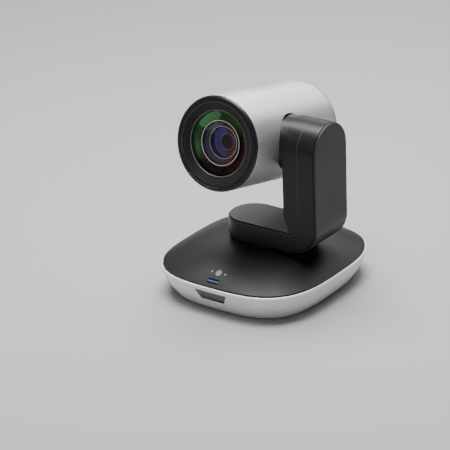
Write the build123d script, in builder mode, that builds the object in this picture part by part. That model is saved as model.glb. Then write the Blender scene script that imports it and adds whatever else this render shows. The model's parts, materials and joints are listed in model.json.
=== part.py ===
"""A small conference-room pan, tilt and zoom camera.

Frame: +Z up, the lens looks towards -Y, +X is on the camera's left side (the arm's side).
The origin is under the middle of the base, on the surface that the camera stands on.
The pan axis is the Z axis, and the tilt axis is parallel to X at the height TILT_Z.
All sizes are in millimetres.
"""
import os
from math import atan, cos, pi, radians, sin, sqrt, tan

from build123d import *

os.makedirs("parts", exist_ok=True)

# ---- driving dimensions: base ----
BASE_W = 128.4
BASE_D = 136.0
RIM_Z = 21.0
SQUARENESS = 3.14          # exponent of the rim's superellipse, 2 would be an ellipse
LIP_H = 1.7
WALL = 2.4
FOOT_PAD_H = 1.0           # rubber feet under the bottom plate
FLOOR_Z = 3.0              # top of the bottom plate
DOME_TOP_Z = 35.6

# ---- driving dimensions: arm ----
ARM_HALF = 20.2            # half depth of the arm
FOOT_R = 18.0              # round end of the foot
FOOT_X = -6.8              # centre of the round end
FOOT_Z0 = 38.0
FOOT_Z1 = 51.5
FOOT_COVER_Z = 52.5
BOSS_X = 31.5              # inner face of the arm
SEAM_X = 43.8              # seam between the inner cover and the outer shell
SHELL_X = 57.0
CAP_X = 58.6
BEND_R = 21.5              # outer corner under the arm
SEAM_R = 6.0               # inner corner of the shell
CHIN_R = 29.0              # curve that draws the arm in above the foot
TILT_Z = 112.6

# ---- driving dimensions: head ----
TILT_REST = 12.0           # degrees above level in the stored pose
HEAD_X = -4.8
HEAD_DROP = 1.4            # the optical axis runs this far under the tilt axis
TUBE_R = 33.5
TUBE_FRONT = 45.3
TUBE_BACK = -54.4
BEZEL_FRONT = 47.9
CAP_BACK = -56.1
HUB_R = 19.4

# ---- clearances ----
RUN = 0.05                 # radial clearance of a shaft in its bush
FIT = 0.15                 # gap between covers that do not move
GAP = 0.3                  # gap between bodies that move

# ---- gears ----
PAN_MODULE = 0.8
PAN_TEETH = 60
PAN_PINION_TEETH = 12
PAN_GEAR_Z = 22.5
PAN_MOTOR_ANGLE = 225.0
TILT_MODULE = 0.6
TILT_TEETH = 48
TILT_PINION_TEETH = 12
TILT_GEAR_X = 36.0
GEAR_W = 3.0
PRESSURE_ANGLE = 20.0
BACKLASH = 0.14

# ---- tripod thread ----
TRIPOD_R = 3.175           # 1/4 inch screw
TRIPOD_DEPTH = 8.0

MOTOR_Z = TILT_Z - TILT_MODULE * (TILT_TEETH + TILT_PINION_TEETH) / 2
TILT = radians(TILT_REST)
HEAD_UP = Vector(0, sin(TILT), cos(TILT))
HEAD_FORE = Vector(0, -cos(TILT), sin(TILT))
HEAD_ORIGIN = Vector(HEAD_X, 0, TILT_Z) - HEAD_UP * HEAD_DROP
OPTICAL_AXIS = Axis(HEAD_ORIGIN, HEAD_FORE)
HEAD_PROFILE = Plane(origin=HEAD_ORIGIN, x_dir=(1, 0, 0), z_dir=(0, -sin(TILT), -cos(TILT)))


# ---- planes and outlines that several pieces share ----
def level(height):
    """Horizontal plane, local axes along X and Y."""
    return Plane.XY.offset(height)


def side(x):
    """Plane across the arm, local axes along Y and Z."""
    return Plane(origin=(x, 0, 0), x_dir=(0, 1, 0), z_dir=(1, 0, 0))


def tilt_plane(x):
    """Plane across the tilt axis."""
    return Plane(origin=(x, 0, TILT_Z), x_dir=(0, 1, 0), z_dir=(1, 0, 0))


def motor_plane(x):
    """Plane across the tilt motor's shaft."""
    return Plane(origin=(x, 0, MOTOR_Z), x_dir=(0, 1, 0), z_dir=(1, 0, 0))


def across(distance):
    """Plane across the head, at a distance in front of the tilt axis."""
    return Plane(origin=HEAD_ORIGIN + HEAD_FORE * distance, x_dir=(1, 0, 0), z_dir=HEAD_FORE)


def turn(outline, axis, plane, mode=Mode.ADD):
    """Turned ring from a closed outline of (radius, distance along the axis) points."""
    with BuildSketch(plane) as profile:
        with BuildLine():
            Polyline(*outline, close=True)
        make_face()
    revolve(profile.sketch, axis=axis, mode=mode)


def turn_on_lens_axis(outline, mode=Mode.ADD):
    """Turned piece of the head, outline points are (radius, distance in front of the tilt axis)."""
    turn(outline, OPTICAL_AXIS, HEAD_PROFILE, mode)


def disc(plane, radius, height, mode=Mode.ADD, bore=0.0):
    """Round disc or tube standing on a plane."""
    with BuildSketch(plane) as outline:
        Circle(radius)
        if bore:
            Circle(bore, mode=Mode.SUBTRACT)
    extrude(outline.sketch, amount=height, mode=mode)


def superellipse(width, depth, power):
    """Closed ring of points on a superellipse."""
    count = 48
    points = []
    for step in range(count):
        angle = 2 * pi * step / count
        c = cos(angle)
        s = sin(angle)
        x = width / 2 * abs(c) ** (2 / power) * (1 if c >= 0 else -1)
        y = depth / 2 * abs(s) ** (2 / power) * (1 if s >= 0 else -1)
        points.append((x, y))
    return points


def base_section(height, inset, power=SQUARENESS):
    """Horizontal section of the base, drawn in from the rim by inset."""
    with BuildSketch(level(height)) as section:
        with BuildLine():
            Spline(*superellipse(BASE_W - 2 * inset, BASE_D - 2 * inset, power), periodic=True)
        make_face()
    return section.sketch


def base_loft(sections, mode=Mode.ADD):
    """Loft of base sections, each given as (height, inset, power)."""
    loft([base_section(*section) for section in sections], mode=mode)


def gear_outline(teeth, module, phase):
    """Closed outline of a spur gear with involute flanks, one tooth centred at the phase angle."""
    pitch_r = module * teeth / 2
    base_r = pitch_r * cos(radians(PRESSURE_ANGLE))
    tip_r = pitch_r + module * 0.95
    root_r = pitch_r - module * 1.2
    half_pitch = pi / (2 * teeth) - BACKLASH / 2 / (2 * pitch_r)
    involute_at_pitch = tan(radians(PRESSURE_ANGLE)) - radians(PRESSURE_ANGLE)
    flank_start = max(base_r, root_r)
    flank = []
    for step in range(4):
        r = flank_start + (tip_r - flank_start) * step / 3
        roll = sqrt(max((r / base_r) ** 2 - 1, 0))
        half = half_pitch + involute_at_pitch - (roll - atan(roll))
        flank.append((r, half))
    outline = []
    for tooth in range(teeth):
        middle = radians(phase) + 2 * pi * tooth / teeth
        outline.append((root_r, middle - flank[0][1]))
        outline += [(r, middle - half) for r, half in flank]
        outline += [(r, middle + half) for r, half in reversed(flank)]
        outline.append((root_r, middle + flank[0][1]))
    points = [(r * cos(a), r * sin(a)) for r, a in outline]
    clean = [points[0]]
    for point in points[1:]:
        if abs(point[0] - clean[-1][0]) + abs(point[1] - clean[-1][1]) > 1e-4:
            clean.append(point)
    return clean


def spur_gear(plane, teeth, module, phase, bore, mode=Mode.ADD):
    """Spur gear standing on a plane."""
    with BuildSketch(plane) as outline:
        with BuildLine():
            Polyline(*gear_outline(teeth, module, phase), close=True)
        make_face()
        Circle(bore, mode=Mode.SUBTRACT)
    extrude(outline.sketch, amount=GEAR_W, mode=mode)


def save(builder, name):
    """Label a finished piece and write it."""
    builder.part.label = name
    export_step(builder.part, f"parts/{name}.step")


# ---- outlines of the base ----
BOWL_OUTSIDE = (
    (FOOT_PAD_H, 9.2, 3.18),
    (4.0, 7.0, 3.17),
    (8.5, 4.4, 3.16),
    (13.5, 2.0, 3.15),
    (RIM_Z - LIP_H, 0.6, SQUARENESS),
)
BOWL_INSIDE = tuple((z, inset + WALL, power) for z, inset, power in BOWL_OUTSIDE)
DOME_WALL = 2.0
DOME_EDGE_INSET = 0.9
DOME_EDGE_POWER = 3.1
DOME_EDGE_Z = RIM_Z + 1.2
COVER_WALL = 1.6
DOME_FLAT_INSET = 44.0     # the dome is level from here in
DOME_SECTIONS = 7


def dome_sections(drop, draw_in):
    """Sections of the dome: a parabola in height that turns from squarish to round."""
    sections = []
    for step in range(DOME_SECTIONS):
        u = step / (DOME_SECTIONS - 1)
        z = DOME_EDGE_Z + (DOME_TOP_Z - DOME_EDGE_Z) * (1 - (1 - u) ** 2)
        inset = DOME_EDGE_INSET + (DOME_FLAT_INSET - DOME_EDGE_INSET) * u
        power = 2.0 + (DOME_EDGE_POWER - 2.0) * (1 - u) ** 2
        sections.append((z - drop, inset + draw_in, power))
    return sections


DOME_OUTSIDE = dome_sections(0.0, 0.0)
DOME_INSIDE = dome_sections(DOME_WALL, 0.6)
PLATE_INSET = 11.8
LEDGE_Z = 14.0
NECK_R = 14.0

# pan drive position
PAN_CENTRES = PAN_MODULE * (PAN_TEETH + PAN_PINION_TEETH) / 2
PAN_MOTOR_X = PAN_CENTRES * cos(radians(PAN_MOTOR_ANGLE))
PAN_MOTOR_Y = PAN_CENTRES * sin(radians(PAN_MOTOR_ANGLE))
PAN_SHAFT_R = 8.0
CHASSIS_T = 2.5
POSTS = ((-44.0, -14.0), (44.0, -14.0), (-44.0, 14.0), (44.0, 14.0))
POST_R = 4.0
SCREW_R = 1.5
SCREW_HEAD_R = 2.8

# port recess at the back
PORT_W = 25.0
PORT_Z0 = 4.6
PORT_Z1 = 15.0
PORT_Y = 55.0
USB_X = -15.0
CONTROL_X = 2.0
POWER_X = 16.5
PORT_Z = 9.8


def port_recess(grow, y0, y1, mode):
    """Block with the outline of the port recess."""
    with BuildSketch(Plane.XZ.offset(-y0)) as outline:
        with Locations((0, (PORT_Z0 + PORT_Z1) / 2)):
            RectangleRounded(2 * (PORT_W + grow), PORT_Z1 - PORT_Z0 + 2 * grow, 2.0)
    extrude(outline.sketch, amount=-(y1 - y0), mode=mode)


def window_outline(grow, plane):
    """Sketch of the infrared window: a trapezoid with rounded lower corners."""
    top_z = 17.2
    low_z = 10.2
    with BuildSketch(plane) as outline:
        with BuildLine():
            Polyline(
                (-13.2 - grow, top_z + grow),
                (13.2 + grow, top_z + grow),
                (9.4 + grow, low_z - grow),
                (-9.4 - grow, low_z - grow),
                close=True,
            )
        make_face()
        fillet(outline.vertices().group_by(Axis.Y)[0], 1.8)
    return outline.sketch


# ---- base pieces ----
WINDOW_DEPTH = 6.0
with BuildPart() as base_bowl:
    base_loft(BOWL_OUTSIDE)
    with BuildSketch(level(RIM_Z - LIP_H)) as lip:
        with BuildLine():
            Spline(*superellipse(BASE_W, BASE_D, SQUARENESS), periodic=True)
        make_face()
    extrude(lip.sketch, amount=LIP_H)
    fillet(base_bowl.edges().group_by(Axis.Z)[-1], 0.7)
    base_loft(BOWL_INSIDE, mode=Mode.SUBTRACT)
    with BuildSketch(level(RIM_Z - LIP_H)) as mouth:
        with BuildLine():
            Spline(*superellipse(BASE_W - 2.2, BASE_D - 2.2, SQUARENESS), periodic=True)
        make_face()
    extrude(mouth.sketch, amount=LIP_H + 1, mode=Mode.SUBTRACT)
    base_loft(((LEDGE_Z - 2.0, 4.0, SQUARENESS), (LEDGE_Z, 4.0, SQUARENESS)))
    base_loft(((LEDGE_Z - 4.0, 9.0, 2.8), (LEDGE_Z + 1.0, 9.0, 2.8)), mode=Mode.SUBTRACT)
    port_recess(FIT, 50.0, 70.0, Mode.SUBTRACT)
    extrude(window_outline(0.25, Plane.XZ.offset(BASE_D / 2 - WINDOW_DEPTH)), amount=20, mode=Mode.SUBTRACT)
save(base_bowl, "base_bowl")

LED_SLOPE = radians(30)
LED_PLACE = Plane(origin=(0, -62.9, 24.6), x_dir=(1, 0, 0), z_dir=(0, -sin(LED_SLOPE), cos(LED_SLOPE)))
with BuildPart() as base_top_cover:
    base_loft(((RIM_Z, 1.4, DOME_EDGE_POWER), (DOME_EDGE_Z, DOME_EDGE_INSET, DOME_EDGE_POWER)))
    base_loft(DOME_OUTSIDE)
    base_loft(
        (
            (RIM_Z - 1, DOME_EDGE_INSET + COVER_WALL, DOME_EDGE_POWER),
            (DOME_EDGE_Z, DOME_EDGE_INSET + COVER_WALL, DOME_EDGE_POWER),
        ),
        mode=Mode.SUBTRACT,
    )
    base_loft(DOME_INSIDE, mode=Mode.SUBTRACT)
    disc(level(RIM_Z), NECK_R + 0.6, 20, mode=Mode.SUBTRACT)
    with BuildSketch(LED_PLACE.offset(-4)) as led_slot:
        SlotOverall(11.2, 4.4)
    extrude(led_slot.sketch, amount=8, mode=Mode.SUBTRACT)
save(base_top_cover, "base_top_cover")

with BuildPart() as led_bezel:
    with BuildSketch(LED_PLACE.offset(-2.6)) as led_frame:
        SlotOverall(10.9, 4.1)
        SlotOverall(9.8, 1.9, mode=Mode.SUBTRACT)
    extrude(led_frame.sketch, amount=2.7)
save(led_bezel, "led_bezel")

with BuildPart() as led_light_pipe:
    with BuildSketch(LED_PLACE.offset(-3.4)) as led_slit:
        SlotOverall(9.6, 1.7)
    extrude(led_slit.sketch, amount=3.3)
save(led_light_pipe, "led_light_pipe")

with BuildPart() as ir_window:
    extrude(window_outline(0.0, Plane.XZ.offset(BASE_D / 2 - WINDOW_DEPTH)), amount=15)
    base_loft([(z, inset + 0.55, power) for z, inset, power in BOWL_OUTSIDE], mode=Mode.INTERSECT)
save(ir_window, "ir_window")

PLATE_Z = FOOT_PAD_H
with BuildPart() as bottom_plate:
    base_loft(((PLATE_Z, PLATE_INSET, 3.1), (FLOOR_Z, PLATE_INSET, 3.1)))
    disc(level(0), 6.1, 10, mode=Mode.SUBTRACT)
    with BuildSketch(level(PLATE_Z)) as screw_heads:
        with Locations(*POSTS):
            Circle(SCREW_HEAD_R + 0.2)
    extrude(screw_heads.sketch, amount=1.1, mode=Mode.SUBTRACT)
    with BuildSketch(level(PLATE_Z)) as screw_holes:
        with Locations(*POSTS):
            Circle(SCREW_R + 0.1)
    extrude(screw_holes.sketch, amount=5, mode=Mode.SUBTRACT)
save(bottom_plate, "bottom_plate")

with BuildPart() as bottom_screws:
    with BuildSketch(level(PLATE_Z + 0.1)) as heads:
        with Locations(*POSTS):
            Circle(SCREW_HEAD_R)
    extrude(heads.sketch, amount=1.0)
    with BuildSketch(level(PLATE_Z + 1.1)) as shanks:
        with Locations(*POSTS):
            Circle(SCREW_R)
    extrude(shanks.sketch, amount=8.0)
    with BuildSketch(level(PLATE_Z)) as sockets:
        with Locations(*POSTS):
            RectangleRounded(2.6, 0.7, 0.2)
            RectangleRounded(0.7, 2.6, 0.2)
    extrude(sockets.sketch, amount=0.7, mode=Mode.SUBTRACT)
save(bottom_screws, "bottom_screws")

PAD_X = 34.0
PAD_Y = 35.0
with BuildPart() as rubber_feet:
    with BuildSketch(level(0)) as pads:
        with GridLocations(2 * PAD_X, 2 * PAD_Y, 2, 2):
            Circle(6.0)
    extrude(pads.sketch, amount=FOOT_PAD_H)
    chamfer(rubber_feet.edges().group_by(Axis.Z)[0], 0.3)
save(rubber_feet, "rubber_feet")

with BuildPart() as tripod_bush:
    disc(level(PLATE_Z), 6.0, TRIPOD_DEPTH + 1.5)
    disc(level(FLOOR_Z), 9.0, 1.6)
    disc(level(PLATE_Z), TRIPOD_R, TRIPOD_DEPTH, mode=Mode.SUBTRACT)
save(tripod_bush, "tripod_bush")

CHASSIS_TOP = LEDGE_Z + CHASSIS_T
BEARING_R = 10.5
BEARING_TOP = 22.0
with BuildPart() as base_chassis:
    base_loft(((LEDGE_Z, 5.0, 2.9), (CHASSIS_TOP, 5.0, 2.9)))
    disc(level(LEDGE_Z), 14.0, BEARING_TOP - LEDGE_Z)
    with BuildSketch(level(FLOOR_Z)) as posts:
        with Locations(*POSTS):
            Circle(POST_R)
    extrude(posts.sketch, amount=LEDGE_Z - FLOOR_Z)
    disc(level(LEDGE_Z), BEARING_R, 10, mode=Mode.SUBTRACT)
    with BuildSketch(level(FLOOR_Z)) as post_holes:
        with Locations(*POSTS):
            Circle(SCREW_R)
    extrude(post_holes.sketch, amount=PLATE_Z + 9.1 - FLOOR_Z, mode=Mode.SUBTRACT)
    with BuildSketch(level(LEDGE_Z)) as motor_hole:
        with Locations((PAN_MOTOR_X, PAN_MOTOR_Y)):
            Circle(3.0)
        with Locations((0, 60.0)):
            Rectangle(53, 16)
        with Locations((0, -62.0)):
            Rectangle(34, 10)
    extrude(motor_hole.sketch, amount=5, mode=Mode.SUBTRACT)
save(base_chassis, "base_chassis")

with BuildPart() as pan_bearing:
    disc(level(LEDGE_Z - 0.8), BEARING_R, BEARING_TOP - LEDGE_Z + 0.8, bore=PAN_SHAFT_R + RUN)
save(pan_bearing, "pan_bearing")

MOTOR_R = 10.0
MOTOR_SHAFT_R = 1.0
PAN_MOTOR_Z = 3.4
PAN_MOTOR_PLACE = Plane(origin=(PAN_MOTOR_X, PAN_MOTOR_Y, PAN_MOTOR_Z), x_dir=(1, 0, 0), z_dir=(0, 0, 1))
with BuildPart() as pan_motor:
    disc(PAN_MOTOR_PLACE, MOTOR_R, LEDGE_Z - PAN_MOTOR_Z)
    disc(PAN_MOTOR_PLACE.offset(LEDGE_Z - PAN_MOTOR_Z), 2.6, 2.0)
    disc(PAN_MOTOR_PLACE.offset(3), MOTOR_SHAFT_R + RUN, 12, mode=Mode.SUBTRACT)
    fillet(pan_motor.edges().filter_by(GeomType.CIRCLE).group_by(Axis.Z)[0], 0.8)
save(pan_motor, "pan_motor")

with BuildPart() as pan_motor_shaft:
    disc(PAN_MOTOR_PLACE.offset(3.2), MOTOR_SHAFT_R, PAN_GEAR_Z + GEAR_W + 0.3 - PAN_MOTOR_Z - 3.2)
save(pan_motor_shaft, "pan_motor_shaft")

PAN_PINION_PLACE = Plane(origin=(PAN_MOTOR_X, PAN_MOTOR_Y, PAN_GEAR_Z), x_dir=(1, 0, 0), z_dir=(0, 0, 1))
PAN_PINION_PHASE = PAN_MOTOR_ANGLE + 180 + 180 / PAN_PINION_TEETH
with BuildPart() as pan_pinion:
    spur_gear(PAN_PINION_PLACE, PAN_PINION_TEETH, PAN_MODULE, PAN_PINION_PHASE, MOTOR_SHAFT_R)
save(pan_pinion, "pan_pinion")

with BuildPart() as pan_gear:
    spur_gear(level(PAN_GEAR_Z), PAN_TEETH, PAN_MODULE, PAN_MOTOR_ANGLE, PAN_SHAFT_R)
    disc(level(PAN_GEAR_Z + 1.0), 20.5, GEAR_W, mode=Mode.SUBTRACT, bore=11.5)
save(pan_gear, "pan_gear")

# ---- base electronics ----
BOARD_Z = 5.0
BOARD_T = 1.6
BOARD_TOP = BOARD_Z + BOARD_T
with BuildPart() as main_board:
    with BuildSketch(level(BOARD_Z)) as board:
        with Locations((0, 31.5)):
            RectangleRounded(60, 39, 2)
    extrude(board.sketch, amount=BOARD_T)
save(main_board, "main_board")

with BuildPart() as board_chips:
    with BuildSketch(level(BOARD_TOP)) as chips:
        with Locations((-14, 27)):
            Rectangle(14, 14)
        with Locations((6, 30)):
            Rectangle(9, 9)
        with Locations((22, 24)):
            Rectangle(7, 12)
    extrude(chips.sketch, amount=1.4)
save(board_chips, "board_chips")

PANEL_T = 2.0
with BuildPart() as rear_port_panel:
    port_recess(0.0, PORT_Y - PANEL_T, 68.0, Mode.ADD)
    port_recess(-1.2, PORT_Y, 70.0, Mode.SUBTRACT)
    base_loft([(z, inset + 0.5, power) for z, inset, power in BOWL_OUTSIDE], mode=Mode.INTERSECT)
    with BuildSketch(Plane.XZ.offset(-PORT_Y + 5)) as port_holes:
        with Locations((USB_X, PORT_Z)):
            Rectangle(9.6, 6.6)
        with Locations((CONTROL_X, PORT_Z)):
            Circle(4.6)
        with Locations((POWER_X, PORT_Z)):
            Circle(4.1)
    extrude(port_holes.sketch, amount=-10, mode=Mode.SUBTRACT)
save(rear_port_panel, "rear_port_panel")


def port_plane(y):
    """Vertical plane at the given depth, facing backwards, local axes along X and Z."""
    return Plane(origin=(0, y, 0), x_dir=(-1, 0, 0), z_dir=(0, 1, 0))


def port_block(x, width, height, y0, y1, mode=Mode.ADD):
    """Rectangular block of a socket, centred on the row of ports."""
    with BuildSketch(port_plane(y0)) as outline:
        with Locations((-x, PORT_Z)):
            RectangleRounded(width, height, 0.4)
    extrude(outline.sketch, amount=y1 - y0, mode=mode)


def port_round(x, radius, y0, y1, mode=Mode.ADD):
    """Round nose or bore of a socket."""
    with BuildSketch(port_plane(y0)) as outline:
        with Locations((-x, PORT_Z)):
            Circle(radius)
    extrude(outline.sketch, amount=y1 - y0, mode=mode)


with BuildPart() as usb_port:
    port_block(USB_X, 9.2, 6.2, 45.0, PORT_Y + 0.3)
    port_block(USB_X, 8.2, 5.2, 47.0, PORT_Y + 1.0, Mode.SUBTRACT)
    port_block(USB_X, 6.0, 1.6, 46.5, PORT_Y - 0.8)
save(usb_port, "usb_port")

CONTROL_PINS = 6
CONTROL_PIN_CIRCLE = 1.9
with BuildPart() as control_port:
    port_block(CONTROL_X, 9.4, 6.2, 43.0, PORT_Y - PANEL_T)
    port_round(CONTROL_X, 4.4, PORT_Y - PANEL_T, PORT_Y + 0.3)
    port_round(CONTROL_X, 3.6, PORT_Y - 3.0, PORT_Y + 1.0, Mode.SUBTRACT)
    port_round(CONTROL_X, 2.9, PORT_Y - 3.5, PORT_Y - 0.6)
    with BuildSketch(port_plane(PORT_Y - 2.5)) as pin_holes:
        with Locations((-CONTROL_X, PORT_Z)):
            with PolarLocations(CONTROL_PIN_CIRCLE, CONTROL_PINS):
                Circle(0.4)
    extrude(pin_holes.sketch, amount=5, mode=Mode.SUBTRACT)
save(control_port, "control_port")

with BuildPart() as power_jack:
    port_block(POWER_X, 8.6, 6.2, 43.0, PORT_Y - PANEL_T)
    port_round(POWER_X, 3.9, PORT_Y - PANEL_T, PORT_Y + 0.3)
    port_round(POWER_X, 2.9, 45.5, PORT_Y + 1.0, Mode.SUBTRACT)
    port_round(POWER_X, 1.0, 44.5, PORT_Y - 1.0)
save(power_jack, "power_jack")

FRONT_BOARD_Y = -54.0
with BuildPart() as front_board:
    with BuildSketch(Plane.XZ.offset(-FRONT_BOARD_Y - BOARD_T)) as board:
        with Locations((0, 9.2)):
            RectangleRounded(32, 8.2, 1)
    extrude(board.sketch, amount=BOARD_T)
save(front_board, "front_board")

with BuildPart() as ir_receiver:
    with BuildSketch(Plane.XZ.offset(-FRONT_BOARD_Y)) as body:
        with Locations((0, 8.6)):
            RectangleRounded(6.0, 6.0, 0.8)
    extrude(body.sketch, amount=2.6)
    with BuildSketch(Plane.XZ.offset(-FRONT_BOARD_Y + 2.6)) as eye:
        with Locations((0, 9.0)):
            Circle(2.0)
    extrude(eye.sketch, amount=1.4)
    fillet(ir_receiver.faces().sort_by(Axis.Y)[0].edges(), 1.0)
save(ir_receiver, "ir_receiver")

# ---- arm pieces ----
SHELL_WALL = 2.0
ARM_TOP = TILT_Z + ARM_HALF
BEND_X = CAP_X - BEND_R
BEND_Z = FOOT_Z0 + BEND_R
CAP_T = CAP_X - SHELL_X
FOOT_Y = FOOT_R - ARM_HALF
SEAM_START_X = SEAM_X - SEAM_R
CHIN_Z = FOOT_Z1 + sqrt(CHIN_R**2 - (CHIN_R - SEAM_START_X + BOSS_X) ** 2)


def foot_block(inset, x_end, z0, z1, mode=Mode.ADD):
    """Block with the foot's outline: a round left end and straight sides, flush with the arm's front."""
    with BuildSketch(level(z0)) as outline:
        with Locations((FOOT_X, FOOT_Y)):
            Circle(FOOT_R - inset)
        with Locations(((FOOT_X + x_end) / 2, FOOT_Y)):
            Rectangle(x_end - FOOT_X, 2 * (FOOT_R - inset))
    extrude(outline.sketch, amount=z1 - z0, mode=mode)


def arch(radius, low_z, x0, x1, mode=Mode.ADD):
    """Upright block with a round top about the tilt axis."""
    with BuildSketch(side(x0)) as outline:
        with Locations((0, TILT_Z)):
            Circle(radius)
        with Locations((0, (TILT_Z + low_z) / 2)):
            Rectangle(2 * radius, TILT_Z - low_z)
    extrude(outline.sketch, amount=x1 - x0, mode=mode)


with BuildPart() as arm_outline:
    foot_block(0, BOSS_X + 1, FOOT_Z0, FOOT_Z1)
    arch(ARM_HALF, FOOT_Z0, BOSS_X, SHELL_X)

FRAME_SCREW_RING = 10.0
FOOT_END_X = FOOT_X - FOOT_R - 1
PASSAGE_X = SEAM_START_X - 2
with BuildPart() as arm_outer_shell:
    with BuildSketch(Plane.XZ) as elbow:
        with BuildLine():
            Line((FOOT_END_X, FOOT_Z0), (BEND_X, FOOT_Z0))
            Line((BEND_X, FOOT_Z0), (BEND_X, FOOT_Z0 + CAP_T))
            RadiusArc((BEND_X, FOOT_Z0 + CAP_T), (SHELL_X, BEND_Z), -(BEND_R - CAP_T))
            Line((SHELL_X, BEND_Z), (SHELL_X, ARM_TOP))
            Line((SHELL_X, ARM_TOP), (SEAM_X, ARM_TOP))
            Line((SEAM_X, ARM_TOP), (SEAM_X, FOOT_Z1 + SEAM_R))
            RadiusArc((SEAM_X, FOOT_Z1 + SEAM_R), (SEAM_START_X, FOOT_Z1), SEAM_R)
            Line((SEAM_START_X, FOOT_Z1), (FOOT_END_X, FOOT_Z1))
            Line((FOOT_END_X, FOOT_Z1), (FOOT_END_X, FOOT_Z0))
        make_face()
    extrude(elbow.sketch, amount=ARM_HALF, both=True)
    add(arm_outline.part, mode=Mode.INTERSECT)
    fillet(arm_outer_shell.faces().filter_by(Axis.X).sort_by(Axis.X)[-1].edges().sort_by(Axis.Z)[1:], 0.9)
    foot_block(SHELL_WALL, SEAM_START_X - 1, FOOT_Z0 + SHELL_WALL, FOOT_Z1, Mode.SUBTRACT)
    arch(ARM_HALF - SHELL_WALL, BEND_Z, SEAM_X, SHELL_X - SHELL_WALL, Mode.SUBTRACT)
    with BuildSketch(Plane.XZ) as passage:
        with BuildLine():
            Line((PASSAGE_X, FOOT_Z0 + SHELL_WALL), (BEND_X, FOOT_Z0 + SHELL_WALL + CAP_T))
            RadiusArc(
                (BEND_X, FOOT_Z0 + SHELL_WALL + CAP_T),
                (SHELL_X - SHELL_WALL, BEND_Z),
                -(BEND_R - CAP_T - SHELL_WALL),
            )
            Line((SHELL_X - SHELL_WALL, BEND_Z), (SHELL_X - SHELL_WALL, BEND_Z + 1))
            Line((SHELL_X - SHELL_WALL, BEND_Z + 1), (SEAM_X + SHELL_WALL, BEND_Z + 1))
            Line((SEAM_X + SHELL_WALL, BEND_Z + 1), (SEAM_X + SHELL_WALL, FOOT_Z1 + SEAM_R))
            RadiusArc(
                (SEAM_X + SHELL_WALL, FOOT_Z1 + SEAM_R),
                (SEAM_START_X, FOOT_Z1 - SHELL_WALL),
                SEAM_R + SHELL_WALL,
            )
            Line((SEAM_START_X, FOOT_Z1 - SHELL_WALL), (PASSAGE_X, FOOT_Z1 - SHELL_WALL))
            Line((PASSAGE_X, FOOT_Z1 - SHELL_WALL), (PASSAGE_X, FOOT_Z0 + SHELL_WALL))
        make_face()
    extrude(passage.sketch, amount=ARM_HALF - SHELL_WALL, both=True, mode=Mode.SUBTRACT)
    disc(level(FOOT_Z0), 6.0, SHELL_WALL + 1, mode=Mode.SUBTRACT)
    with BuildSketch(level(FOOT_Z0)) as frame_holes:
        with PolarLocations(FRAME_SCREW_RING, 4, start_angle=45):
            Circle(SCREW_R + 0.1)
    extrude(frame_holes.sketch, amount=SHELL_WALL + 1, mode=Mode.SUBTRACT)
save(arm_outer_shell, "arm_outer_shell")

COVER_INSET = 1.0          # the foot's top cover stands inside the shell's rim
COVER_RIB = 1.5
BOSS_WALL = 2.0
TILT_SHAFT_R = 5.0
HOLLOW_LOW_Z = FOOT_Z1 + SEAM_R + 1
with BuildPart() as boss_hollow:
    with BuildSketch(Plane.XZ) as hollow_profile:
        with BuildLine():
            Polyline(
                (BOSS_X + BOSS_WALL, CHIN_Z + 1),
                (BOSS_X + BOSS_WALL, ARM_TOP),
                (SEAM_X, ARM_TOP),
                (SEAM_X, HOLLOW_LOW_Z),
                (SEAM_X - 4.5, HOLLOW_LOW_Z),
                close=True,
            )
        make_face()
    extrude(hollow_profile.sketch, amount=ARM_HALF, both=True)
    arch(ARM_HALF - BOSS_WALL, FOOT_Z1, BOSS_X, SEAM_X, Mode.INTERSECT)

with BuildPart() as arm_inner_cover:
    with BuildSketch(Plane.XZ) as boss:
        with BuildLine():
            RadiusArc((SEAM_START_X, FOOT_Z1), (SEAM_X, FOOT_Z1 + SEAM_R), -SEAM_R)
            Line((SEAM_X, FOOT_Z1 + SEAM_R), (SEAM_X, ARM_TOP))
            Line((SEAM_X, ARM_TOP), (BOSS_X, ARM_TOP))
            Line((BOSS_X, ARM_TOP), (BOSS_X, CHIN_Z))
            RadiusArc((BOSS_X, CHIN_Z), (SEAM_START_X, FOOT_Z1), -CHIN_R)
        make_face()
    extrude(boss.sketch, amount=ARM_HALF, both=True)
    arch(ARM_HALF, FOOT_Z1, BOSS_X, SEAM_X, Mode.INTERSECT)
    add(boss_hollow.part, mode=Mode.SUBTRACT)
    foot_block(COVER_INSET, SEAM_START_X, FOOT_Z1, FOOT_COVER_Z)
    foot_block(SHELL_WALL + FIT, SEAM_START_X - 1.2, FOOT_Z1 - COVER_RIB, FOOT_Z1)
    disc(tilt_plane(BOSS_X - 1), TILT_SHAFT_R + 0.6, 5, mode=Mode.SUBTRACT)
save(arm_inner_cover, "arm_inner_cover")

CAP_HALF = ARM_HALF - 0.35
with BuildPart() as arm_cap_plate:
    with BuildSketch(Plane.XZ) as skin:
        with BuildLine():
            Line((BEND_X, FOOT_Z0), (BEND_X, FOOT_Z0 + CAP_T))
            RadiusArc((BEND_X, FOOT_Z0 + CAP_T), (SHELL_X, BEND_Z), -(BEND_R - CAP_T))
            Line((SHELL_X, BEND_Z), (SHELL_X, ARM_TOP))
            Line((SHELL_X, ARM_TOP), (CAP_X, ARM_TOP))
            Line((CAP_X, ARM_TOP), (CAP_X, BEND_Z))
            RadiusArc((CAP_X, BEND_Z), (BEND_X, FOOT_Z0), BEND_R)
        make_face()
    extrude(skin.sketch, amount=CAP_HALF, both=True)
    arch(CAP_HALF, FOOT_Z0, 0, CAP_X, Mode.INTERSECT)
    fillet(arm_cap_plate.faces().filter_by(Axis.X).sort_by(Axis.X)[-1].edges().sort_by(Axis.Z)[1:], 0.6)
save(arm_cap_plate, "arm_cap_plate")

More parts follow.
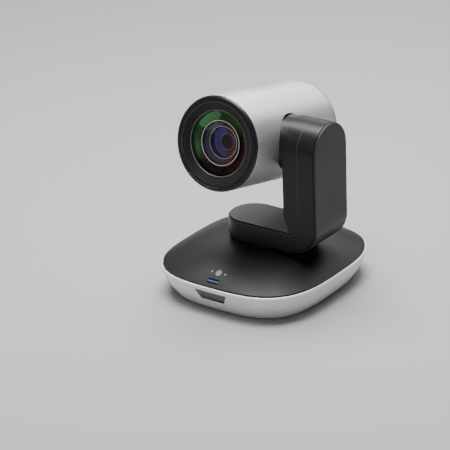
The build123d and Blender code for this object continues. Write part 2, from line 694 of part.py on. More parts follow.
SHAFT_LOW = 11.0
with BuildPart() as turntable:
    disc(level(PAN_GEAR_Z + GEAR_W), NECK_R, FOOT_Z0 - PAN_GEAR_Z - GEAR_W)
    disc(level(SHAFT_LOW), PAN_SHAFT_R, PAN_GEAR_Z + GEAR_W - SHAFT_LOW)
    disc(level(SHAFT_LOW), 5.0, FOOT_Z0, mode=Mode.SUBTRACT)
    disc(level(12.0), 20.0, 1.1, mode=Mode.SUBTRACT, bore=PAN_SHAFT_R - 0.8)
    with BuildSketch(level(FOOT_Z0 - 5)) as frame_threads:
        with PolarLocations(FRAME_SCREW_RING, 4, start_angle=45):
            Circle(SCREW_R)
    extrude(frame_threads.sketch, amount=6, mode=Mode.SUBTRACT)
save(turntable, "turntable")

with BuildPart() as pan_circlip:
    disc(level(12.05), 10.0, 1.0, bore=PAN_SHAFT_R - 0.8)
    with BuildSketch(level(12.0)) as mouth:
        with Locations((10, 0)):
            Rectangle(12, 3)
    extrude(mouth.sketch, amount=1.2, mode=Mode.SUBTRACT)
save(pan_circlip, "pan_circlip")

FRAME_T = 2.0
FRAME_X = 46.0
FRAME_Z = FOOT_Z0 + SHELL_WALL
FRAME_HALF = 12.5
FRAME_END_X = -12.0
BUSH_R = 7.5
with BuildPart() as arm_frame:
    with BuildSketch(Plane.XZ) as bracket:
        with BuildLine():
            Polyline(
                (FRAME_END_X, FRAME_Z),
                (33, FRAME_Z),
                (43, FRAME_Z + 5),
                (FRAME_X + FRAME_T, FRAME_Z + 12),
                (FRAME_X + FRAME_T, TILT_Z + FRAME_HALF),
                (FRAME_X, TILT_Z + FRAME_HALF),
                (FRAME_X, FRAME_Z + 12.6),
                (41.6, FRAME_Z + 6.5),
                (32.5, FRAME_Z + FRAME_T),
                (FRAME_END_X, FRAME_Z + FRAME_T),
                close=True,
            )
        make_face()
    extrude(bracket.sketch, amount=FRAME_HALF, both=True)
    arch(FRAME_HALF, FRAME_Z, -30, FRAME_X + FRAME_T, Mode.INTERSECT)
    disc(tilt_plane(FRAME_X - 1), BUSH_R, 5, mode=Mode.SUBTRACT)
    disc(motor_plane(FRAME_X - 1), 1.6, 5, mode=Mode.SUBTRACT)
    disc(level(FRAME_Z - 1), 6.0, 6, mode=Mode.SUBTRACT)
    with BuildSketch(level(FRAME_Z - 1)) as frame_screw_holes:
        with PolarLocations(FRAME_SCREW_RING, 4, start_angle=45):
            Circle(SCREW_R + 0.1)
    extrude(frame_screw_holes.sketch, amount=5, mode=Mode.SUBTRACT)
save(arm_frame, "arm_frame")

with BuildPart() as frame_screws:
    with BuildSketch(level(FRAME_Z + FRAME_T)) as heads:
        with PolarLocations(FRAME_SCREW_RING, 4, start_angle=45):
            Circle(SCREW_HEAD_R)
    extrude(heads.sketch, amount=1.6)
    with BuildSketch(level(FOOT_Z0 - 4.5)) as shanks:
        with PolarLocations(FRAME_SCREW_RING, 4, start_angle=45):
            Circle(SCREW_R)
    extrude(shanks.sketch, amount=FRAME_Z + FRAME_T - FOOT_Z0 + 4.5)
    with BuildSketch(level(FRAME_Z + FRAME_T + 0.8)) as sockets:
        with PolarLocations(FRAME_SCREW_RING, 4, start_angle=45):
            RegularPolygon(1.2, 6)
    extrude(sockets.sketch, amount=1, mode=Mode.SUBTRACT)
save(frame_screws, "frame_screws")


with BuildPart() as tilt_bearing:
    disc(tilt_plane(FRAME_X - 1.5), BUSH_R + 1.0, 1.5)
    disc(tilt_plane(FRAME_X), BUSH_R, 4.0)
    disc(tilt_plane(FRAME_X - 2), TILT_SHAFT_R + RUN, 8, mode=Mode.SUBTRACT)
save(tilt_bearing, "tilt_bearing")

TILT_MOTOR_X = FRAME_X + FRAME_T
with BuildPart() as tilt_motor:
    disc(motor_plane(TILT_MOTOR_X), MOTOR_R, 6.0)
    fillet(tilt_motor.edges().group_by(Axis.X)[-1], 0.8)
    disc(motor_plane(TILT_MOTOR_X - 1), MOTOR_SHAFT_R + RUN, 6, mode=Mode.SUBTRACT)
save(tilt_motor, "tilt_motor")

with BuildPart() as tilt_motor_shaft:
    disc(motor_plane(TILT_GEAR_X - 0.5), MOTOR_SHAFT_R, TILT_MOTOR_X + 4.7 - TILT_GEAR_X + 0.5)
save(tilt_motor_shaft, "tilt_motor_shaft")

TILT_PINION_PHASE = 90 + 180 / TILT_PINION_TEETH
with BuildPart() as tilt_pinion:
    spur_gear(motor_plane(TILT_GEAR_X), TILT_PINION_TEETH, TILT_MODULE, TILT_PINION_PHASE, MOTOR_SHAFT_R)
save(tilt_pinion, "tilt_pinion")

with BuildPart() as arm_board:
    with BuildSketch(side(FRAME_X + FRAME_T)) as board:
        with Locations((0, 68)):
            RectangleRounded(24, 26, 1.5)
    extrude(board.sketch, amount=1.4)
    with BuildSketch(side(FRAME_X + FRAME_T + 1.4)) as chips:
        with Locations((0, 64)):
            Rectangle(9, 9)
        with Locations((0, 75)):
            Rectangle(14, 4)
    extrude(chips.sketch, amount=1.4)
save(arm_board, "arm_board")

# ---- head pieces ----
TUBE_WALL = 2.0
TUBE_IN = TUBE_R - TUBE_WALL
HUB_X0 = 24.0
HUB_X1 = BOSS_X - GAP
with BuildPart() as barrel_tube:
    turn_on_lens_axis(
        (
            (TUBE_IN, TUBE_BACK),
            (TUBE_R, TUBE_BACK),
            (TUBE_R, TUBE_FRONT - 0.3),
            (TUBE_R - 0.3, TUBE_FRONT),
            (TUBE_IN, TUBE_FRONT),
        )
    )
    disc(tilt_plane(HEAD_X + 5), HUB_R + FIT, 40, mode=Mode.SUBTRACT)
save(barrel_tube, "barrel_tube")

with BuildPart() as rear_cap:
    turn_on_lens_axis(
        (
            (0, CAP_BACK + 0.6),
            (TUBE_R - 3.2, CAP_BACK + 0.6),
            (TUBE_R - 3.8, CAP_BACK),
            (TUBE_R - 1.0, CAP_BACK),
            (TUBE_R - 0.3, CAP_BACK + 0.4),
            (TUBE_R, CAP_BACK + 1.1),
            (TUBE_R, TUBE_BACK),
            (TUBE_IN - 0.1, TUBE_BACK),
            (TUBE_IN - 0.1, TUBE_BACK + 3.0),
            (TUBE_IN - 1.8, TUBE_BACK + 3.0),
            (TUBE_IN - 1.8, TUBE_BACK + 0.4),
            (0, TUBE_BACK + 0.4),
        )
    )
save(rear_cap, "rear_cap")

FACE_R = 29.0
FACE_L = 47.5
GLASS_R = 22.8
THROAT_R = 23.4
THROAT_L = 44.8
STEPS = 6


def bezel_steps():
    """Fine steps of the bezel's cone, from the front face in to the throat."""
    points = []
    step_r = (FACE_R - THROAT_R) / STEPS
    step_l = (FACE_L - THROAT_L) / STEPS
    for step in range(STEPS):
        r = FACE_R - step * step_r
        l = FACE_L - step * step_l
        points.append((r, l))
        points.append((r - 0.25, l - step_l))
    points.append((THROAT_R, THROAT_L))
    return points


with BuildPart() as front_bezel:
    turn_on_lens_axis(
        [
            (TUBE_IN - 0.1, TUBE_FRONT - 5.0),
            (TUBE_IN - 0.1, TUBE_FRONT),
            (TUBE_R, TUBE_FRONT),
            (TUBE_R, TUBE_FRONT + 0.9),
            (TUBE_R - 0.5, TUBE_FRONT + 1.9),
            (TUBE_R - 1.4, BEZEL_FRONT),
            (FACE_R + 0.8, BEZEL_FRONT),
        ]
        + bezel_steps()
        + [
            (THROAT_R, TUBE_FRONT - 3.0),
            (TUBE_IN - 2.0, TUBE_FRONT - 3.0),
            (TUBE_IN - 2.0, TUBE_FRONT - 5.0),
        ]
    )
save(front_bezel, "front_bezel")


def lens(radius, back, front, bulge):
    """Round lens with a flat back and a front that bulges at its middle."""
    with BuildSketch(HEAD_PROFILE) as profile:
        with BuildLine():
            Line((0, back), (0, front + bulge))
            ThreePointArc((0, front + bulge), (radius / 2, front + bulge * 0.76), (radius, front))
            Line((radius, front), (radius, back))
            Line((radius, back), (0, back))
        make_face()
    revolve(profile.sketch, axis=OPTICAL_AXIS)


GLASS_BACK = 42.4
GLASS_EDGE = 43.4
with BuildPart() as front_lens:
    lens(GLASS_R, GLASS_BACK, GLASS_EDGE, 3.0)
save(front_lens, "front_lens")

BARREL_R = 24.0
BORE_R = 13.0
BARREL_BACK = -33.0
NOSE_BACK = 29.0
with BuildPart() as lens_barrel:
    turn_on_lens_axis(
        (
            (BORE_R, BARREL_BACK),
            (20.0, BARREL_BACK),
            (20.0, -6.0),
            (BARREL_R, -2.0),
            (BARREL_R, 24.0),
            (BARREL_R - 0.8, 26.0),
            (BARREL_R - 0.8, GLASS_BACK),
            (GLASS_R - 0.6, GLASS_BACK),
            (GLASS_R - 1.2, GLASS_BACK - 1.6),
            (17.4, GLASS_BACK - 3.0),
            (16.6, GLASS_BACK - 3.0),
            (16.6, 37.0),
            (13.8, 33.0),
            (13.8, NOSE_BACK),
            (BORE_R, NOSE_BACK),
        )
    )
save(lens_barrel, "lens_barrel")

RING_CHAMFER = 0.4
RINGS = ((15.0, 16.5, 38.0, 42.2), (10.9, 14.9, 37.5, 38.7), (5.2, 10.8, 31.5, 33.3))
with BuildPart() as lens_rings:
    for inner, outer, back, front in RINGS:
        turn_on_lens_axis(
            (
                (inner, back),
                (outer, back),
                (outer, front - RING_CHAMFER),
                (outer - RING_CHAMFER, front),
                (inner, front),
            )
        )
save(lens_rings, "lens_rings")

with BuildPart() as inner_lens_front:
    lens(14.9, 38.8, 39.8, 1.6)
save(inner_lens_front, "inner_lens_front")

with BuildPart() as inner_lens_rear:
    lens(10.8, 33.4, 34.2, 1.8)
save(inner_lens_rear, "inner_lens_rear")

with BuildPart() as iris_diaphragm:
    disc(across(30.6), 12.8, 0.6, bore=4.2)
save(iris_diaphragm, "iris_diaphragm")

ROD_CIRCLE = 11.0
ROD_R = 0.75
with BuildPart() as guide_rods:
    with BuildSketch(across(BARREL_BACK + 2)) as rods:
        with Locations((0, ROD_CIRCLE), (0, -ROD_CIRCLE)):
            Circle(ROD_R)
    extrude(rods.sketch, amount=NOSE_BACK + 1 - BARREL_BACK - 2)
save(guide_rods, "guide_rods")


def carrier(back, length, lens_r):
    """Moving lens holder that runs on the two guide rods."""
    disc(across(back), 12.4, length, bore=lens_r)
    with BuildSketch(across(back)) as cuts:
        with Locations((11.5, 0), (-11.5, 0)):
            Rectangle(5, 26)
        with Locations((0, ROD_CIRCLE), (0, -ROD_CIRCLE)):
            Circle(ROD_R + RUN)
    extrude(cuts.sketch, amount=length, mode=Mode.SUBTRACT)


ZOOM_BACK = 14.0
ZOOM_LENGTH = 8.0
FOCUS_BACK = -18.0
FOCUS_LENGTH = 6.0
with BuildPart() as zoom_carrier:
    carrier(ZOOM_BACK, ZOOM_LENGTH, 7.5)
save(zoom_carrier, "zoom_carrier")

with BuildPart() as zoom_lens:
    lens(7.5, ZOOM_BACK + 2.5, ZOOM_BACK + 5.5, 1.2)
save(zoom_lens, "zoom_lens")

with BuildPart() as focus_carrier:
    carrier(FOCUS_BACK, FOCUS_LENGTH, 6.5)
save(focus_carrier, "focus_carrier")

with BuildPart() as focus_lens:
    lens(6.5, FOCUS_BACK + 2.0, FOCUS_BACK + 4.0, 1.0)
save(focus_lens, "focus_lens")


def stator(x, back, length):
    """Magnet bar beside a lens carrier, on the bore's wall."""
    with BuildSketch(across(back)) as bar:
        with Locations((x, 0)):
            RectangleRounded(2.2, 7.0, 0.4)
    extrude(bar.sketch, amount=length)


with BuildPart() as zoom_stator:
    stator(11.3, -2.0, 28.0)
save(zoom_stator, "zoom_stator")

with BuildPart() as focus_stator:
    stator(-11.3, -26.0, 22.0)
save(focus_stator, "focus_stator")

SENSOR_L = BARREL_BACK - 1.6
with BuildPart() as sensor_board:
    with BuildSketch(across(SENSOR_L)) as board:
        RectangleRounded(38, 38, 3)
    extrude(board.sketch, amount=1.6)
save(sensor_board, "sensor_board")

with BuildPart() as image_sensor:
    with BuildSketch(across(BARREL_BACK)) as chip:
        RectangleRounded(13, 11, 0.4)
    extrude(chip.sketch, amount=1.5)
save(image_sensor, "image_sensor")

with BuildPart() as processor_board:
    disc(across(-43.0), 27.0, 1.6)
    with BuildSketch(across(-41.4)) as chips:
        with Locations((-6, 4)):
            Rectangle(15, 15)
        with Locations((13, -6)):
            Rectangle(8, 11)
    extrude(chips.sketch, amount=1.8)
    with BuildSketch(across(-41.4)) as spacers:
        with Locations((16, 16), (-16, 16), (16, -16), (-16, -16)):
            Circle(2.0)
    extrude(spacers.sketch, amount=SENSOR_L + 41.4)
save(processor_board, "processor_board")

FIN_COUNT = 9
FIN_PITCH = 4.0
with BuildPart() as heat_sink:
    disc(across(-45.5), 24.0, 2.5)
    with BuildSketch(across(-50.5)) as fins:
        with GridLocations(FIN_PITCH, 1, FIN_COUNT, 1):
            Rectangle(1.2, 30)
    extrude(fins.sketch, amount=5.0)
save(heat_sink, "heat_sink")

with BuildPart() as head_frame:
    with BuildSketch(side(HEAD_X + 14)) as saddle:
        with Locations((0, TILT_Z)):
            RectangleRounded(26, 26, 4)
    extrude(saddle.sketch, amount=HUB_X0 - HEAD_X - 14)
    turn_on_lens_axis(((0, -30), (BARREL_R, -30), (BARREL_R, 30), (0, 30)), Mode.SUBTRACT)
save(head_frame, "head_frame")

with BuildPart() as tilt_hub:
    disc(tilt_plane(HUB_X0), HUB_R, HUB_X1 - HUB_X0)
    fillet(tilt_hub.edges().group_by(Axis.X)[-1], 0.5)
    disc(tilt_plane(HUB_X1), TILT_SHAFT_R, FRAME_X + 5.6 - HUB_X1)
    disc(tilt_plane(HUB_X0 - 1), 3.0, 40, mode=Mode.SUBTRACT)
    disc(tilt_plane(FRAME_X + 4.2), 9.0, 0.9, mode=Mode.SUBTRACT, bore=TILT_SHAFT_R - 0.6)
save(tilt_hub, "tilt_hub")

with BuildPart() as tilt_circlip:
    disc(tilt_plane(FRAME_X + 4.25), TILT_SHAFT_R + 1.6, 0.8, bore=TILT_SHAFT_R - 0.6)
    with BuildSketch(tilt_plane(FRAME_X + 4.2)) as mouth:
        with Locations((0, 6)):
            Rectangle(2.4, 8)
    extrude(mouth.sketch, amount=1, mode=Mode.SUBTRACT)
save(tilt_circlip, "tilt_circlip")

with BuildPart() as tilt_gear:
    spur_gear(tilt_plane(TILT_GEAR_X), TILT_TEETH, TILT_MODULE, -90, TILT_SHAFT_R)
save(tilt_gear, "tilt_gear")
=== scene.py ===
"""Studio model of a small pan, tilt and zoom camera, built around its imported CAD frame."""
import json
from math import cos, pi, radians, sin

import bpy
from mathutils import Matrix, Vector


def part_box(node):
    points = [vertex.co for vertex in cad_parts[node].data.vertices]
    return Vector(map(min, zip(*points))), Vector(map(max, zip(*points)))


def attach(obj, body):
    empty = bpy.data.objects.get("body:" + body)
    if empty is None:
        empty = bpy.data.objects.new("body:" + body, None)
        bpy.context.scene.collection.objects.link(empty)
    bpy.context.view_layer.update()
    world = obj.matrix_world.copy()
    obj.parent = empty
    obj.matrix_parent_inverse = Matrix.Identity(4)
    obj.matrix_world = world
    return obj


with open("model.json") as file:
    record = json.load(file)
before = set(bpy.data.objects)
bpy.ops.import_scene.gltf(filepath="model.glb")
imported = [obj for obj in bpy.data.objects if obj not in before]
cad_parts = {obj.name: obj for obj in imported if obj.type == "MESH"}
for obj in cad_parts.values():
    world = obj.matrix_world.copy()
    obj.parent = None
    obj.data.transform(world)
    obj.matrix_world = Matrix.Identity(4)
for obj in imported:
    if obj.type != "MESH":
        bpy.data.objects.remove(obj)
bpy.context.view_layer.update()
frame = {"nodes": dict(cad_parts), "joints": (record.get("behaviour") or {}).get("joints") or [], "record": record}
NODES = frame["nodes"]
MM = 0.001

# ---- places in the frame ----
TILT_JOINT = next(joint for joint in frame["joints"] if joint["name"] == "tilt")
SLIDE_JOINT = next(joint for joint in frame["joints"] if joint["name"] == "zoom_slide")
HEAD_FORE = Vector(SLIDE_JOINT["axis"]).normalized()
HEAD_RIGHT = Vector((1, 0, 0))
HEAD_UP = HEAD_RIGHT.cross(HEAD_FORE) * -1
TUBE_LOW, TUBE_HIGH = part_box("barrel_tube")
HEAD_X = (TUBE_LOW[0] + TUBE_HIGH[0]) / 2
TILT_Z = TILT_JOINT["pos_m"][2]
AXIS_DROP = 1.4 * MM
LENS_ORIGIN = Vector((HEAD_X, 0, TILT_Z)) - HEAD_UP * AXIS_DROP


LENS_CENTRE_Z = (LENS_ORIGIN + HEAD_FORE * 43 * MM).z


def in_head(radius, angle, forward):
    """Point in the head, in millimetres from the lens axis and in front of the tilt axis."""
    across = HEAD_RIGHT * cos(angle) + HEAD_UP * sin(angle)
    return LENS_ORIGIN + across * radius * MM + HEAD_FORE * forward * MM


# ---- camera, as the photograph's: almost level, from the front left of the arm ----
AIM = Vector((-0.0168, -0.0236, 0.0486))
VIEW_AZIMUTH = radians(36.34)
VIEW_ELEVATION = radians(23.96)
VIEW_ROLL = radians(-2.22)
VIEW_DISTANCE = 1.6
VIEW_LENS = 180.34


def make_camera():
    """Long lens at the photograph's angle."""
    data = bpy.data.cameras.new("camera")
    data.sensor_width = 36.0
    data.lens = VIEW_LENS
    data.clip_start = 0.05
    data.clip_end = 50.0
    camera = bpy.data.objects.new("camera", data)
    back = Vector(
        (
            sin(VIEW_AZIMUTH) * cos(VIEW_ELEVATION),
            -cos(VIEW_AZIMUTH) * cos(VIEW_ELEVATION),
            sin(VIEW_ELEVATION),
        )
    )
    turn = back.to_track_quat("Z", "Y").to_matrix().to_4x4() @ Matrix.Rotation(VIEW_ROLL, 4, "Z")
    camera.matrix_world = Matrix.Translation(AIM + back * VIEW_DISTANCE) @ turn
    bpy.context.scene.collection.objects.link(camera)
    bpy.context.scene.camera = camera


# ---- studio ----
def area_light(name, place, target, size, power, colour=(1, 1, 1)):
    """Soft rectangular light that points at a target."""
    data = bpy.data.lights.new(name, "AREA")
    data.shape = "RECTANGLE"
    data.size = size[0]
    data.size_y = size[1]
    data.energy = power
    data.color = colour
    light = bpy.data.objects.new(name, data)
    light.location = place
    light.rotation_euler = (Vector(place) - Vector(target)).to_track_quat("Z", "Y").to_euler()
    bpy.context.scene.collection.objects.link(light)
    return light


FLOOR_REACH = 6.0


def make_studio():
    """Pale floor, soft overhead key, and weak fills."""
    world = bpy.data.worlds.new("studio")
    world.use_nodes = True
    background = world.node_tree.nodes["Background"]
    background.inputs["Color"].default_value = (0.86, 0.88, 0.92, 1)
    background.inputs["Strength"].default_value = 0.13
    bpy.context.scene.world = world
    mesh = bpy.data.meshes.new("floor")
    corners = [(-1, -1), (1, -1), (1, 1), (-1, 1)]
    mesh.from_pydata([(x * FLOOR_REACH, y * FLOOR_REACH, 0) for x, y in corners], [], [(0, 1, 2, 3)])
    floor = bpy.data.objects.new("floor", mesh)
    bpy.context.scene.collection.objects.link(floor)
    material, tree, shader = new_material("floor_paper")
    shader.inputs["Base Color"].default_value = (0.36, 0.36, 0.357, 1)
    shader.inputs["Roughness"].default_value = 0.9
    mesh.materials.append(material)
    centre = (0, 0, 0.08)
    area_light("key_overhead", (-0.10, 0.10, 1.0), centre, (0.75, 0.75), 31.0)
    area_light("strip_front_left", (-0.95, -0.85, 0.42), centre, (0.55, 0.40), 1.3)
    area_light("fill_front", (0.25, -1.5, 0.30), centre, (0.9, 0.35), 2.2)
    area_light("rim_right", (1.3, 0.10, 0.60), centre, (0.5, 0.8), 0.6)
    area_light("sheen_back", (-0.05, 1.25, 0.90), centre, (1.25, 0.75), 5.2)
    area_light("sheen_back_left", (-0.75, 1.0, 0.62), centre, (0.7, 0.4), 1.7)


# ---- node helpers ----
def new_material(name):
    """Node material with its Principled shader."""
    material = bpy.data.materials.new(name)
    material.use_nodes = True
    return material, material.node_tree, material.node_tree.nodes["Principled BSDF"]


def object_place(tree):
    """Object coordinates, in metres."""
    return tree.nodes.new("ShaderNodeTexCoord").outputs["Object"]


def object_noise(tree, scale, detail=2.0, roughness=0.5):
    """Noise texture on object coordinates."""
    noise = tree.nodes.new("ShaderNodeTexNoise")
    noise.inputs["Scale"].default_value = scale
    noise.inputs["Detail"].default_value = detail
    noise.inputs["Roughness"].default_value = roughness
    tree.links.new(object_place(tree), noise.inputs["Vector"])
    return noise


def ramp(tree, source, low, high, start=0.3, end=0.7):
    """Colour ramp between two colours."""
    node = tree.nodes.new("ShaderNodeValToRGB")
    node.color_ramp.elements[0].position = start
    node.color_ramp.elements[1].position = end
    node.color_ramp.elements[0].color = (*low, 1)
    node.color_ramp.elements[1].color = (*high, 1)
    tree.links.new(source, node.inputs["Fac"])
    return node.outputs["Color"]


def map_range(tree, source, low, high, start=0.3, end=0.7):
    """Number mapped from one range to another."""
    node = tree.nodes.new("ShaderNodeMapRange")
    node.inputs["From Min"].default_value = start
    node.inputs["From Max"].default_value = end
    node.inputs["To Min"].default_value = low
    node.inputs["To Max"].default_value = high
    tree.links.new(source, node.inputs["Value"])
    return node.outputs["Result"]


def maths(tree, operation, first, second=0.0):
    """One arithmetic node; each operand is a number or a socket."""
    node = tree.nodes.new("ShaderNodeMath")
    node.operation = operation
    for index, operand in enumerate((first, second)):
        if isinstance(operand, (int, float)):
            node.inputs[index].default_value = operand
        else:
            tree.links.new(operand, node.inputs[index])
    return node.outputs[0]


def mix_colour(tree, factor, low, high):
    """Mix of two colours; each is a tuple or a socket."""
    node = tree.nodes.new("ShaderNodeMix")
    node.data_type = "RGBA"
    tree.links.new(factor, node.inputs["Factor"])
    for socket, value in ((node.inputs[6], low), (node.inputs[7], high)):
        if isinstance(value, tuple):
            socket.default_value = (*value, 1)
        else:
            tree.links.new(value, socket)
    return node.outputs[2]


def add_relief(tree, shader, height, distance, edge_radius):
    """Fine surface relief, on edges that look slightly rounded."""
    bump = tree.nodes.new("ShaderNodeBump")
    bump.inputs["Distance"].default_value = distance
    tree.links.new(height, bump.inputs["Height"])
    if edge_radius:
        bevel = tree.nodes.new("ShaderNodeBevel")
        bevel.samples = 6
        bevel.inputs["Radius"].default_value = edge_radius
        tree.links.new(bevel.outputs["Normal"], bump.inputs["Normal"])
    tree.links.new(bump.outputs["Normal"], shader.inputs["Normal"])


def moulded(
    name, colour, roughness, grain=2600.0, relief=0.00001, spread=0.15,
    metallic=0.0, specular=0.5, coat=0.0, edge=0.00025,
):
    """Moulded or painted surface: fine grain in relief and in tone, and slow variation in gloss."""
    material, tree, shader = new_material(name)
    shader.inputs["Metallic"].default_value = metallic
    shader.inputs["Specular IOR Level"].default_value = specular
    if coat:
        shader.inputs["Coat Weight"].default_value = coat
        shader.inputs["Coat Roughness"].default_value = 0.12
    fine = object_noise(tree, grain, 3.0)
    slow = object_noise(tree, 35.0, 3.0)
    dark = tuple(channel * (1 - spread) for channel in colour)
    light = tuple(min(channel * (1 + spread), 1.0) for channel in colour)
    tree.links.new(ramp(tree, fine.outputs["Fac"], dark, light), shader.inputs["Base Color"])
    tree.links.new(
        map_range(tree, slow.outputs["Fac"], roughness * 0.92, min(roughness * 1.08, 1.0)),
        shader.inputs["Roughness"],
    )
    add_relief(tree, shader, fine.outputs["Fac"], relief, edge)
    return material


def axis_of(tree, letter):
    """One object coordinate, in metres."""
    split = tree.nodes.new("ShaderNodeSeparateXYZ")
    tree.links.new(object_place(tree), split.inputs["Vector"])
    return split.outputs[letter]


def repaint(material, mask, colour):
    """Lay a second colour over a material's own where the mask is one."""
    tree = material.node_tree
    shader = tree.nodes["Principled BSDF"]
    base = shader.inputs["Base Color"].links[0].from_socket
    tree.links.new(mix_colour(tree, mask, base, colour), shader.inputs["Base Color"])


def between(tree, value, low, high):
    """One where a value lies between two limits, nought elsewhere."""
    return maths(
        tree, "MULTIPLY", maths(tree, "GREATER_THAN", value, low), maths(tree, "LESS_THAN", value, high)
    )


def from_lens_axis(tree):
    """Distance from the lens axis, in metres."""
    offset = tree.nodes.new("ShaderNodeVectorMath")
    offset.operation = "SUBTRACT"
    tree.links.new(object_place(tree), offset.inputs[0])
    offset.inputs[1].default_value = LENS_ORIGIN
    across = tree.nodes.new("ShaderNodeVectorMath")
    across.operation = "CROSS_PRODUCT"
    tree.links.new(offset.outputs["Vector"], across.inputs[0])
    across.inputs[1].default_value = HEAD_FORE
    length = tree.nodes.new("ShaderNodeVectorMath")
    length.operation = "LENGTH"
    tree.links.new(across.outputs["Vector"], length.inputs[0])
    return length.outputs["Value"]


def coated_glass(name, clear, left, right, gain, glow, blend_width, slant=0.0, middle=None):
    """Coated lens element: mostly clear, with a painted reflection whose tint changes from left to right and inside
    a middle radius, and a painted glow in that tint.
    """
    material, tree, shader = new_material(name)
    tree.nodes.remove(shader)
    sideways = maths(tree, "SUBTRACT", axis_of(tree, "X"), HEAD_X)
    upward = maths(tree, "SUBTRACT", axis_of(tree, "Z"), LENS_CENTRE_Z)
    leaning = maths(tree, "SUBTRACT", sideways, maths(tree, "MULTIPLY", upward, slant))
    tint = mix_colour(tree, map_range(tree, leaning, 0.0, 1.0, -blend_width, blend_width), left, right)
    if middle:
        radius, colour = middle
        tint = mix_colour(tree, maths(tree, "LESS_THAN", from_lens_axis(tree), radius), tint, colour)
    glossy = tree.nodes.new("ShaderNodeBsdfGlossy")
    glossy.inputs["Roughness"].default_value = 0.04
    tree.links.new(tint, glossy.inputs["Color"])
    see_through = tree.nodes.new("ShaderNodeBsdfTransparent")
    see_through.inputs["Color"].default_value = (*clear, 1)
    fresnel = tree.nodes.new("ShaderNodeFresnel")
    fresnel.inputs["IOR"].default_value = 1.5
    amount = maths(tree, "MINIMUM", maths(tree, "MULTIPLY", fresnel.outputs["Fac"], gain), 0.9)
    mix = tree.nodes.new("ShaderNodeMixShader")
    tree.links.new(amount, mix.inputs["Fac"])
    tree.links.new(see_through.outputs["BSDF"], mix.inputs[1])
    tree.links.new(glossy.outputs["BSDF"], mix.inputs[2])
    # painted glow: the glass emits its reflection tint, so it shows lit though it is no lamp
    painted_glow = tree.nodes.new("ShaderNodeEmission")
    painted_glow.inputs["Strength"].default_value = glow
    tree.links.new(tint, painted_glow.inputs["Color"])
    total = tree.nodes.new("ShaderNodeAddShader")
    tree.links.new(mix.outputs["Shader"], total.inputs[0])
    tree.links.new(painted_glow.outputs["Emission"], total.inputs[1])
    tree.links.new(total.outputs["Shader"], tree.nodes["Material Output"].inputs["Surface"])
    return material


def glowing_rim(name, colour, glow):
    """Polished edge with a painted glow, so that it looks as if it catches the light."""
    material, _, shader = new_material(name)
    shader.inputs["Base Color"].default_value = (*colour, 1)
    shader.inputs["Roughness"].default_value = 0.28
    shader.inputs["Metallic"].default_value = 0.3
    shader.inputs["Emission Color"].default_value = (*colour, 1)
    shader.inputs["Emission Strength"].default_value = glow
    return material


PRINT_Y = -0.0560          # middle of the printed sign on the base
PRINT_SPACING = 0.0056


def add_printed_sign(material):
    """Pale lens sign between two dots, printed on the base's cover above the light."""
    tree = material.node_tree
    depth = maths(tree, "SUBTRACT", axis_of(tree, "Y"), PRINT_Y)
    marks = []
    for offset, outer, inner in ((0.0, 0.0021, 0.0016), (0.0, 0.0008, 0.0), (-1, 0.0006, 0.0), (1, 0.0006, 0.0)):
        sideways = maths(tree, "SUBTRACT", axis_of(tree, "X"), offset * PRINT_SPACING)
        reach = maths(tree, "ADD", maths(tree, "POWER", sideways, 2.0), maths(tree, "POWER", depth, 2.0))
        distance = maths(tree, "SQRT", reach)
        mark = maths(tree, "LESS_THAN", distance, outer)
        if inner:
            mark = maths(tree, "MULTIPLY", mark, maths(tree, "GREATER_THAN", distance, inner))
        marks.append(mark)
    total = marks[0]
    for mark in marks[1:]:
        total = maths(tree, "MAXIMUM", total, mark)
    repaint(material, total, (0.55, 0.56, 0.58))


LIP_TOP = 0.0212           # the bowl's upper edge, where a highlight is painted, and the groove below it, where shade is painted
LIP_FOOT = 0.0193
GROOVE_FOOT = 0.0189
# top of the painted shadow along the window's lower edge
WINDOW_SHADOW_TOP = 0.0116
SLIT_Y = -0.0629           # middle of the lit slit in the light pipe
SLIT_Z = 0.0246
SLIT_SLOPE = radians(30)
SLIT_HALF = 0.00029


def add_lip_highlight_and_groove_shade(material):
    """Painted highlight on the lip along the bowl's upper edge, with painted shade in a thin groove below it."""
    tree = material.node_tree
    height = axis_of(tree, "Z")
    repaint(material, between(tree, height, GROOVE_FOOT, LIP_FOOT), (0.30, 0.30, 0.31))
    repaint(material, between(tree, height, LIP_FOOT, LIP_TOP), (0.93, 0.93, 0.94))


def add_window_shadow(material):
    """Painted shadow along the lower edge of the remote control's window."""
    tree = material.node_tree
    repaint(material, maths(tree, "LESS_THAN", axis_of(tree, "Z"), WINDOW_SHADOW_TOP), (0.004, 0.004, 0.004))


def slit_light(name, colour, strength):
    """Dark pill with a narrow lit slit along its middle."""
    material, tree, shader = new_material(name)
    along = maths(tree, "MULTIPLY", maths(tree, "SUBTRACT", axis_of(tree, "Y"), SLIT_Y), cos(SLIT_SLOPE))
    rise = maths(tree, "MULTIPLY", maths(tree, "SUBTRACT", axis_of(tree, "Z"), SLIT_Z), sin(SLIT_SLOPE))
    offset = maths(tree, "ABSOLUTE", maths(tree, "ADD", along, rise))
    lit = maths(tree, "LESS_THAN", offset, SLIT_HALF)
    tree.links.new(mix_colour(tree, lit, (0.006, 0.007, 0.010), colour), shader.inputs["Base Color"])
    shader.inputs["Roughness"].default_value = 0.2
    shader.inputs["Emission Color"].default_value = (*colour, 1)
    tree.links.new(maths(tree, "MULTIPLY", lit, strength), shader.inputs["Emission Strength"])
    return material


SEAM_X = 0.0438            # joint between the arm's inner cover and its outer shell
SEAM_CORNER = 0.006        # radius of the joint's lower corner
SEAM_WIDTH = 0.0005
FOOT_EDGE_Z = 0.0515       # upper edge of the foot's wall


